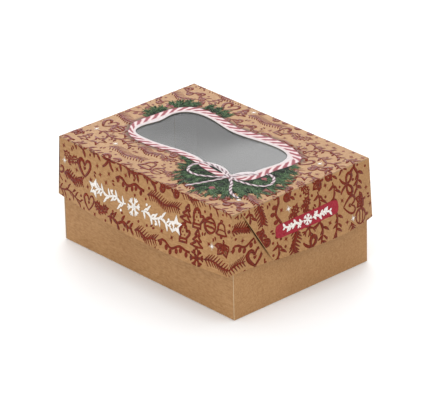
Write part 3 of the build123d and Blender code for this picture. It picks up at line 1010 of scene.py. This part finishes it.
def printed_strip(name, points, sides, height, material, closed=False, pitch=None, rim=None):
    """A strip of print along a smooth line, with its own UV map; sides are its edges, left of the line.

    Where a pitch is given, it goes into the strip a whole number of times. Where a rim is given, the strip
    narrows smoothly to stay outside it. Both are for a closed strip.
    """
    line = smooth_line(points, closed)
    count = len(line)
    lefts = [sideways(line, i, closed) for i in range(count)]
    widths = [1.0] * count
    if rim:
        free = [min(1.0, (reach_inwards(rim, point, -left) - RIM_ROOM) / abs(sides[-1]))
                for point, left in zip(line, lefts)]
        near = range(-RIM_EASE, RIM_EASE + 1)
        narrow = [min(free[(i + k) % count] for k in near) for i in range(count)]
        widths = [sum(narrow[(i + k) % count] for k in near) / len(near) for i in range(count)]
    runs = [0.0]
    for a, b in sides_of(line):
        runs.append(runs[-1] + (b - a).length)
    stretch = round(runs[-1] / pitch) * pitch / runs[-1] if pitch else 1.0
    mesh = bmesh.new()
    own = mesh.loops.layers.uv.new("print_run")
    rows = []
    for point, left, width in zip(line, lefts, widths):
        rows.append([mesh.verts.new((*(point + left * side * width) * MM, (lid_top + height) * MM))
                     for side in sides])
    steps = len(sides) - 1
    for i in range(count if closed else count - 1):
        here, there = rows[i], rows[(i + 1) % count]
        for j in range(steps):
            face = mesh.faces.new((here[j], there[j], there[j + 1], here[j + 1]))
            corners = ((i, j), (i + 1, j), (i + 1, j + 1), (i, j + 1))
            for loop, (along, across) in zip(face.loops, corners):
                loop[own].uv = (runs[along] * stretch, across / steps)
            face.normal_update()
            if face.normal.z < 0:
                face.normal_flip()
    made = bpy.data.objects.new(name, bpy.data.meshes.new(name))
    bpy.context.collection.objects.link(made)
    mesh.to_mesh(made.data)
    mesh.free()
    dressed(thickened(made), material)


PANEL_EDGE = 5           # the window keeps farther than this from the panel's own edges


def window_rim():
    """Return the window's edge, read from the CAD's top panel, as points in order."""
    inner_x, inner_y = lid_half_length - PANEL_EDGE, lid_half_width - PANEL_EDGE
    mesh = bmesh.new()
    mesh.from_mesh(nodes["lid_top_panel"].data)
    bmesh.ops.remove_doubles(mesh, verts=mesh.verts, dist=0.00001)
    edges = set()
    for edge in mesh.edges:
        places = [vertex.co / MM for vertex in edge.verts]
        level = all(abs(p.z - lid_top) < 0.01 for p in places)
        within = all(abs(p.x) < inner_x and abs(p.y) < inner_y for p in places)
        upright = any(abs(face.normal.z) < 0.5 for face in edge.link_faces)
        if level and within and upright:
            if not edges:
                vertex = edge.verts[0]
            edges.add(edge)
    points = []
    while edges:
        points.append((vertex.co.x / MM, vertex.co.y / MM))
        step = next(edge for edge in vertex.link_edges if edge in edges)
        edges.remove(step)
        vertex = step.other_vert(vertex)
    mesh.free()
    return points


def inside(outline, x, y):
    """Say whether a point lies inside a closed outline."""
    found = False
    for (ax, ay), (bx, by) in sides_of(outline):
        if (ay > y) != (by > y) and x < (bx - ax) * (y - ay) / (by - ay) + ax:
            found = not found
    return found


# The cord's outer edge, clockwise from the left side, on the lid's top
CORD_OUTER = [
    (-68.5, 3.5), (-68, 13.5), (-66, 24.5), (-59, 34), (-49, 37.5), (-39, 37.5), (-29, 36.5), (-19, 34.5),
    (-9, 33.5), (1, 34.5), (11, 36.5), (21, 38), (31, 38.5), (41, 37), (51, 33.5), (58.5, 28.5), (60.5, 22),
    (60.5, 13.5), (59, 3.5), (59.5, -6.5), (59, -14), (56.5, -20), (51, -24), (41, -28.5), (31, -29),
    (21, -28), (11, -25.5), (1, -24.5), (-9, -24.5), (-19, -26.5), (-29, -29), (-39, -30), (-49, -29.5),
    (-59, -25.5), (-64, -20), (-68, -14), (-69, -6.5)]
CORD_WIDTH = 7.1
CORD_STRIPS = 6          # faces side by side across the printed cord
TWINE_WIDTH = 2.2
SHADOW_SIDES = [-1.2, 0.8, 2.8, 4.8]     # from under the cord to where the shadow ends
RIM_ROOM = 0.8           # white left between the printed cord and the window, where it is narrowest
RIM_EASE = 5             # points on either side over which the cord narrows
cord_sides = [-CORD_WIDTH * i / CORD_STRIPS for i in range(CORD_STRIPS + 1)]
window_edge = window_rim()
cord_line = smooth_line(CORD_OUTER, True)
cord_middle = [tuple(point - sideways(cord_line, i, True) * CORD_WIDTH / 2)
               for i, point in enumerate(cord_line)]

shadow_print = make_printed_shadow()
printed_strip("printed_shadow_round_cord", CORD_OUTER, SHADOW_SIDES, SHADOW_HEIGHT, shadow_print, True)
margin_edges = [([cord_middle, window_edge], "POLY", True, 2)]
margin = flat_curve("white_margin_round_window", 1, margin_edges, True)
take_up(margin)
bpy.ops.object.convert(target="MESH")
print_on_top(margin, MARGIN_HEIGHT, margin_ink)
printed_strip("printed_cord_round_window", CORD_OUTER, cord_sides, CORD_HEIGHT, cord_print, True, CORD_PITCH,
              window_edge)

# Fir branches: root, tip and how far the middle bows to the left
FIR_BRANCHES = [
    ((-49, 36), (-50, 46), 0.5), ((-44, 37), (-43, 47), -0.5), ((-38, 37), (-36, 47), -0.5),
    ((-33, 36), (-30, 45), -1.0), ((-58, 33), (-61, 42), 0.5), ((-60, 31), (-67, 41), 0.5),
    ((-62, 29), (-72, 36), 0.0), ((-64, 27), (-75, 30), 1.0), ((-66, 17), (-75, 20), 0.5),
    ((-67, 12), (-78, 15), -0.5), ((-67, 7), (-78, 8), -1.0), ((-68, 3), (-73, 2), 0.0),
    ((58, 14), (66, 17), 1.0), ((59, 8), (72, 9), 1.0), ((59, 0), (76, 2), 1.5), ((58, -8), (80, -8), 2.0),
    ((54, -18), (82, -19), 2.0), ((48, -22), (80, -32), 2.0), ((46, -24), (72, -42), 2.0),
    ((45, -26), (64, -50), 1.5), ((44, -27), (53, -55), 1.0), ((42, -28), (42, -57), 1.0),
    ((38, -28), (30, -50), -1.0), ((34, -28), (21, -53), -1.5), ((28, -28), (13, -46), -1.5),
    ((20, -27), (6, -35), -1.0), ((12, -25), (-2, -25), 1.0), ((62, -16), (74, -1), 0.0),
    ((60, -14), (70, -30), 1.0)]
# Where the dark green lies under the needles: behind the bow, and in three tufts at the cord's far corner
FIR_PATCHES = [
    [(-2, -27), (6, -32), (11, -39), (16, -49), (33, -53), (42, -57), (49, -52), (62, -51), (69, -38),
     (75, -35), (80, -28), (77, -20), (79, -5), (75, 4), (65, 15), (59, 18), (57, 12), (56, 0), (54, -17),
     (38, -24), (10, -24)],
    [(-70, 0), (-76, 7), (-78, 12), (-73, 20), (-67, 20), (-65, 8)],
    [(-72, 25), (-75, 29), (-71, 33), (-65, 41), (-60, 41), (-56, 36), (-64, 26)],
    [(-51, 37), (-52, 43), (-45, 47), (-32, 45), (-29, 42), (-29, 37)]]
PATCH_EDGE = 3.0         # the dark green ends this far inside the tips of the tuft
TWIG_PLACES = ((0.30, 38), (0.45, -38), (0.62, 34))      # share of the branch, and degrees to the left
TWIG_REACH = 0.38        # of the branch's length
TWIG_SIZES = (0.8, 1.2)
LONG_BRANCH = 16.0       # from here up a branch has needles of full length
BRANCH_LIGHT = 0.16      # share of pale needles at the start of a branch
BRANCH_SHADES = (-0.14, 0.0, 0.12)       # how much paler than that one branch or another is
TIP_LIGHT = 0.46         # how much paler again a branch gets towards its tip
MID_SHARE, LIGHT_SHARE = 0.58, 0.42      # of the pale needles
NEEDLE_STEP = 0.50
TIP_NEEDLES = 5          # steps that are spent on the tip itself
NEEDLE_REACH = 6.4
SHORTEST = 0.25          # share of that reach on the shortest branch
NEEDLE_SIZES = (0.62, 1.0)
TIP_SHORTER = 0.30       # share of their length that needles lose towards the tip
NEEDLE_FAN = 46          # degrees between a needle and its branch at the root
FAN_STRAY = (-20, 18)
TIP_CLOSES = 0.55        # share of that fan that closes towards the tip
NEEDLE_WEIGHTS = (1.2, 0.9, 0.7)
FIR_NIB = 0.46


def fir_shade():
    """Draw the dark mass under the needles."""
    made = Drawing()
    for patch in FIR_PATCHES:
        line = [Vector(p) for p in patch]
        drawn_in = []
        for i, point in enumerate(line):
            left = sideways(line, i, True)
            inwards = left if inside(patch, *(point + left * 0.5)) else -left
            drawn_in.append(tuple(point + inwards * PATCH_EDGE))
        made.filled.append(drawn_in)
    return made


def fir_needles():
    """Draw every branch needle by needle, in a dark, a middle and a light tone, lighter towards its tip."""
    chance = random.Random(7)
    tones = [Drawing(), Drawing(), Drawing()]
    branches = []
    for root, tip, bow in FIR_BRANCHES:
        start, run = Vector(root), Vector(tip) - Vector(root)
        for share, turn in TWIG_PLACES:
            reach = run * (TWIG_REACH * chance.uniform(*TWIG_SIZES))
            reach.rotate(Matrix.Rotation(math.radians(turn), 2))
            branches.append((start + run * share, start + run * share + reach, 0.0))
        branches.append((start, start + run, bow))
    for start, tip, bow in branches:
        run = tip - start
        bulge = run.orthogonal().normalized() * bow
        heading = math.degrees(math.atan2(run.y, run.x))
        steps = int(run.length / NEEDLE_STEP)
        longest = NEEDLE_REACH * min(1.0, run.length / LONG_BRANCH + SHORTEST)
        pale = chance.choice(BRANCH_SHADES)
        for i in range(steps + TIP_NEEDLES):
            share = min(i / steps, 1.0)
            place = start + run * share + bulge * 4 * share * (1 - share)
            for side in (-1, 1):
                fan = (NEEDLE_FAN + chance.uniform(*FAN_STRAY)) * (1 - TIP_CLOSES * share * share) * side
                reach = longest * chance.uniform(*NEEDLE_SIZES) * (1 - TIP_SHORTER * share)
                light = BRANCH_LIGHT + pale + TIP_LIGHT * share
                tone = chance.choices((0, 1, 2), (1 - light, MID_SHARE * light, LIGHT_SHARE * light))[0]
                weight = NEEDLE_WEIGHTS[tone]
                needle = placed([(0, 0, weight), (reach * 0.6, 0.3 * side, weight * 0.8), (reach, 0.1, 0.15)],
                                place.x, place.y, heading + fan)
                if not any(inside(cord_middle, x, y) for x, y, _ in needle):
                    tones[tone].straight.append(needle)
    return tones


shade = inked("printed_fir_shade", fir_shade(), steps=4)
print_on_top(shade, FIR_SHADE_HEIGHT, fir_shade_ink, NEEDLE_THICKNESS)
fir_tones = (("dark", FIR_DARK_HEIGHT, fir_dark_ink), ("green", FIR_MID_HEIGHT, fir_mid_ink),
             ("light", FIR_LIGHT_HEIGHT, fir_light_ink))
for drawing, (word, height, ink) in zip(fir_needles(), fir_tones):
    print_on_top(inked(f"printed_{word}_fir_needles", drawing, FIR_NIB), height, ink, NEEDLE_THICKNESS)

# Berries among the needles, as (x, y, radius), and the dark gap inside the bow's left loop
BERRIES = [(63.0, -10.4, 2.0), (65.7, -12.4, 1.5), (48.1, -44.6, 2.2), (51.2, -45.6, 1.6),
           (-70.2, 24.5, 1.9), (-72.2, 22.6, 1.4)]
BOW_GAP = [(20.5, -23), (22.5, -21.5), (26.5, -21.5), (33, -22.5), (37, -24), (34.5, -24.5), (28.5, -24.2)]
berries = Drawing(filled=[ring(*berry, 12) for berry in BERRIES])
print_on_top(inked("printed_berries", berries), BERRY_HEIGHT, berry_ink)
print_on_top(inked("printed_gap_in_bow", Drawing(filled=[BOW_GAP]), steps=6), BERRY_HEIGHT, knot_shade_ink)

# The bow: each run of twine is a strip of its own
TWINE_RUNS = {
    "right_loop": [(43, -24), (48, -25), (53.5, -25), (58.5, -24), (63, -23), (67.5, -21), (70.5, -19),
                   (72.5, -15), (71.5, -10.5), (68, -6), (63, -3.5), (58.5, -4)],
    "right_inner": [(44.5, -23.5), (46.5, -18.5), (49, -15), (52, -11.5), (55.5, -8.5)],
    "left_upper": [(42, -24.5), (37, -21.5), (31, -20.5), (26, -20), (21, -20.5), (16, -21.5), (12.5, -24)],
    "left_lower": [(13.5, -24.5), (12.5, -27.5), (12, -30.5), (13.5, -34), (16.5, -37.5), (20.5, -38.5),
                   (26, -38), (31, -35.5), (35, -33), (38.5, -30), (40.5, -27.5), (42, -24.5)],
    "left_tail": [(42.5, -24.5), (42.5, -28.5), (42, -31.5), (41, -34), (40, -37.5), (38.5, -41),
                  (37.5, -44), (35, -49.5), (33, -55)],
    "right_tail": [(45, -25), (48.5, -28), (52.5, -30.5), (55.5, -34), (60, -38.5), (63.5, -41), (68, -42.5),
                   (72.5, -43)],
    "knot_low": [(39.5, -29), (42, -26.5), (45, -24.5), (47.5, -21.5)],
    "knot_high": [(39, -25.5), (42, -24.5), (46, -25), (49, -27)]}
half = TWINE_WIDTH / 2
for i, (word, points) in enumerate(TWINE_RUNS.items()):
    printed_strip(f"printed_bow_{word}", points, [-half, -half / 3, half / 3, half],
                  TWINE_HEIGHT + TWINE_LIFT * i, twine_print)


# Stage, lights and camera

FLOOR_SIZE = 2.4         # metres
FLOOR_DROP = 0.0002      # metres: the floor shares no plane with the box's underside
PAPER_GRAIN_MM = 80
WORLD_LIGHT = 0.90


def make_stage():
    """A plain floor of studio paper.

    To the eye: an even near-white that carries only the box's own soft shadow.
    """
    bpy.ops.mesh.primitive_plane_add(size=FLOOR_SIZE, location=(0, 0, -FLOOR_DROP))
    floor = bpy.context.active_object
    floor.name = "studio_floor"
    material, add, own = new_material("pale_studio_paper")
    grain = add("TexNoise", {"Vector": own["Object"], "Scale": 1 / PAPER_GRAIN_MM / MM})
    colour = add("ValToRGB", {0: grain}, [(0.3, "#F6F6F6"), (0.7, "#F8F8F8")])
    paper = add("BsdfPrincipled", {"Base Color": colour, "Roughness": 0.9, "Specular IOR Level": 0.0})
    add("OutputMaterial", {"Surface": paper})
    floor.data.materials.append(material)


def make_world():
    """An even pale studio: it lights the object softly, and the camera and gloss see plain white."""
    world = bpy.data.worlds.new("studio")
    bpy.context.scene.world = world
    world.use_nodes = True
    world.node_tree.nodes.clear()
    add = partial(add_node, world.node_tree)
    rays = add("LightPath").outputs
    seen = add("Math", {0: rays["Is Camera Ray"], 1: rays["Is Glossy Ray"]}, operation="MAXIMUM")
    through = add("Math", {0: seen, 1: rays["Is Transmission Ray"]}, operation="MAXIMUM")
    strength = add("Mix", {SHARE: through, FIRST_NUMBER: WORLD_LIGHT, SECOND_NUMBER: 1.0}, data_type="FLOAT")
    background = add("Background", {"Color": linear("#FFFFFF"), "Strength": strength})
    add("OutputWorld", {"Surface": background})


def add_soft_light(name, place, aim, size, power):
    """Add a square soft box: its place, aim and size are in metres and its power in watts."""
    light = bpy.data.lights.new(name, "AREA")
    light.size = size
    light.energy = power
    made = bpy.data.objects.new(name, light)
    bpy.context.collection.objects.link(made)
    made.location = place
    made.rotation_euler = (Vector(aim) - Vector(place)).to_track_quat("-Z", "Y").to_euler()


make_stage()
make_world()
add_soft_light("overhead_soft_box", (0.1, 0.0, 1.3), (0, 0, 0.04), 1.2, 5.0)
add_soft_light("front_soft_box", (0.7, -1.3, 0.8), (0, 0, 0.04), 0.9, 4.5)
# Stands where the lid's top mirrors it, which gives the print there its pale sheen
add_soft_light("back_soft_box", (-1.0, 0.9, 0.66), (0, 0, 0.08), 1.2, 12.0)

# The camera stands where it stood for the photograph: fitted to the box's corners
CAMERA_PLACE = (1.58294, -1.41340, 1.06720)
CAMERA_RIGHT = (0.674289, 0.738118, -0.022696)
CAMERA_UP = (-0.308650, 0.309614, 0.899374)
CAMERA_BACK = (0.670872, -0.599433, 0.436590)
IMAGE_WIDTH = 430
FOCAL_PIXELS = 3400
SENSOR_WIDTH = 36.0

camera = bpy.data.objects.new("camera", bpy.data.cameras.new("camera"))
bpy.context.collection.objects.link(camera)
axes = Matrix((CAMERA_RIGHT, CAMERA_UP, CAMERA_BACK)).transposed()
camera.matrix_world = Matrix.Translation(CAMERA_PLACE) @ axes.to_4x4()
camera.data.sensor_width = SENSOR_WIDTH
camera.data.lens = FOCAL_PIXELS * SENSOR_WIDTH / IMAGE_WIDTH
camera.data.clip_start, camera.data.clip_end = 0.1, 20.0
bpy.context.scene.camera = camera
bpy.context.scene.view_settings.view_transform = "Standard"
